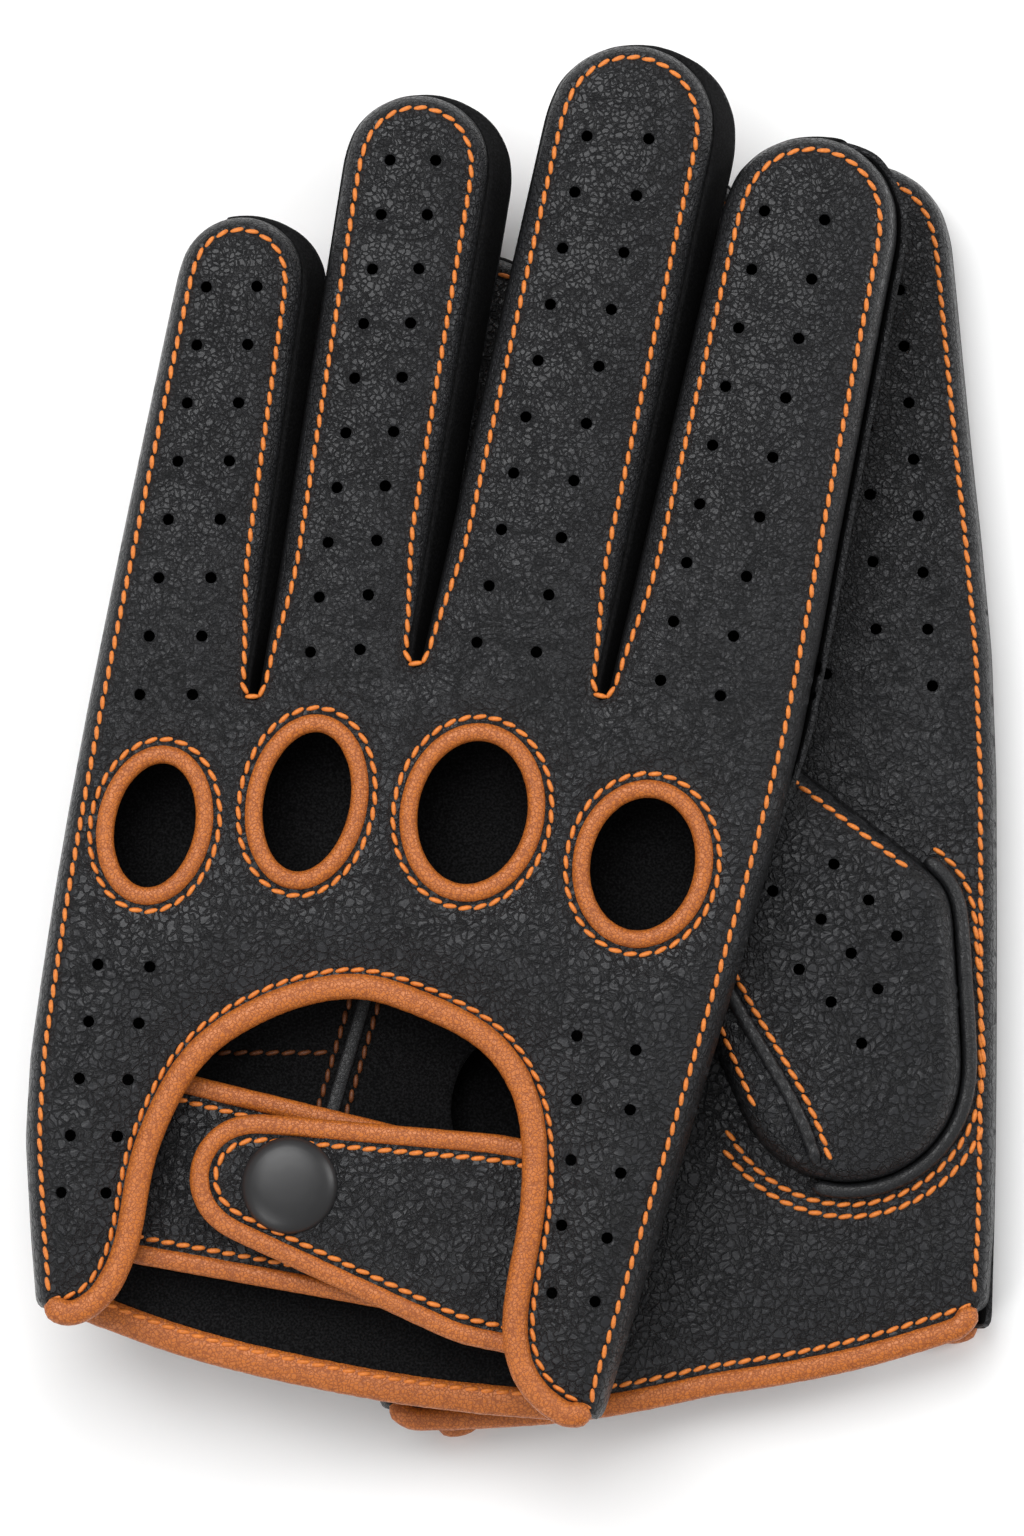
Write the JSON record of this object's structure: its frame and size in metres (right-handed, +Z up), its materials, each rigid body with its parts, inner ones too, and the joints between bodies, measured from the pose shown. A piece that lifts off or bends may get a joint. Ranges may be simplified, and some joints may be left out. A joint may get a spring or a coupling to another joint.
{
  "type": "leather driving gloves",
  "caption": "Pair of black leather driving gloves with knuckle holes, half-moon wrist opening, snap strap and tan binding, laid one on the other.",
  "frame": {"origin": "middle of the bounding box, on the surface the pair lies on", "axes": "+Z up, +Y towards the fingertips, +X towards the index finger side"},
  "size_m": [0.162, 0.2326, 0.0361],
  "materials": {
    "black_leather": "satin grained",
    "edge_leather": "satin rolled edge",
    "tan_leather": "smooth satin",
    "orange_thread": "twisted thread",
    "black_suede": "napped",
    "black_lacquer": "matte",
    "snap_brass": "brushed"
  },
  "bodies": {
    "right_glove": {"right_back_panel": "black_leather", "right_palm_panel": "black_leather", "right_little_ring_gusset": "black_leather", "right_ring_middle_gusset": "black_leather", "right_middle_index_gusset": "black_leather", "right_strap_root": "black_leather", "right_under_strap": "black_leather", "right_thumb_piping": "edge_leather", "right_little_knuckle_binding": "tan_leather", "right_ring_knuckle_binding": "tan_leather", "right_middle_knuckle_binding": "tan_leather", "right_index_knuckle_binding": "tan_leather", "right_half_moon_binding": "tan_leather", "right_palm_cuff_binding": "tan_leather", "right_under_strap_lower_binding": "tan_leather", "right_under_strap_upper_binding": "tan_leather", "right_snap_stud": "snap_brass", "right_snap_post": "snap_brass"},
    "right_strap": {"right_strap_tab": "black_leather", "right_strap_tab_binding": "tan_leather", "right_snap_cap": "black_lacquer", "right_snap_socket": "snap_brass"},
    "right_thumb": {"right_thumb_front_panel": "black_leather", "right_thumb_back_panel": "black_leather"},
    "left_glove": {"left_back_panel": "black_leather", "left_palm_panel": "black_leather", "left_little_ring_gusset": "black_leather", "left_ring_middle_gusset": "black_leather", "left_middle_index_gusset": "black_leather", "left_strap_root": "black_leather", "left_under_strap": "black_leather", "left_thumb_piping": "edge_leather", "left_little_knuckle_binding": "tan_leather", "left_ring_knuckle_binding": "tan_leather", "left_middle_knuckle_binding": "tan_leather", "left_index_knuckle_binding": "tan_leather", "left_half_moon_binding": "tan_leather", "left_palm_cuff_binding": "tan_leather", "left_under_strap_lower_binding": "tan_leather", "left_under_strap_upper_binding": "tan_leather", "left_snap_stud": "snap_brass", "left_snap_post": "snap_brass"},
    "left_strap": {"left_strap_tab": "black_leather", "left_strap_tab_binding": "tan_leather", "left_snap_cap": "black_lacquer", "left_snap_socket": "snap_brass"},
    "left_thumb": {"left_thumb_front_panel": "black_leather", "left_thumb_back_panel": "black_leather"}
  },
  "joints": [
    {"name": "left_glove_lift", "type": "slide", "parent": "right_glove", "child": "left_glove", "axis": [0, 0, 1], "range_m": [0, 0.12]},
    {"name": "left_strap_hinge", "type": "hinge", "parent": "left_glove", "child": "left_strap", "pos_m": [-0.00592, -0.08505, 0.034], "axis": [0.1959, 0.9806, 0], "range_deg": [0, 120]},
    {"name": "left_thumb_swing", "type": "hinge", "parent": "left_glove", "child": "left_thumb", "pos_m": [0.00922, -0.08176, 0.0193], "axis": [-0.9715, -0.2368, 0], "range_deg": [0, 35]},
    {"name": "right_strap_hinge", "type": "hinge", "parent": "right_glove", "child": "right_strap", "pos_m": [0.0526, -0.08021, 0.0021], "axis": [0.0872, -0.9962, 0], "range_deg": [0, 120]},
    {"name": "right_thumb_swing", "type": "hinge", "parent": "right_glove", "child": "right_thumb", "pos_m": [0.06621, -0.07281, 0.0168], "axis": [0.866, 0.5, 0], "range_deg": [0, 35]}
  ],
  "couplings": [
    {"joint": "right_thumb_swing", "follows": "left_glove_lift", "rad_per_m": 5},
    {"joint": "left_thumb_swing", "follows": "left_glove_lift", "rad_per_m": 5}
  ]
}
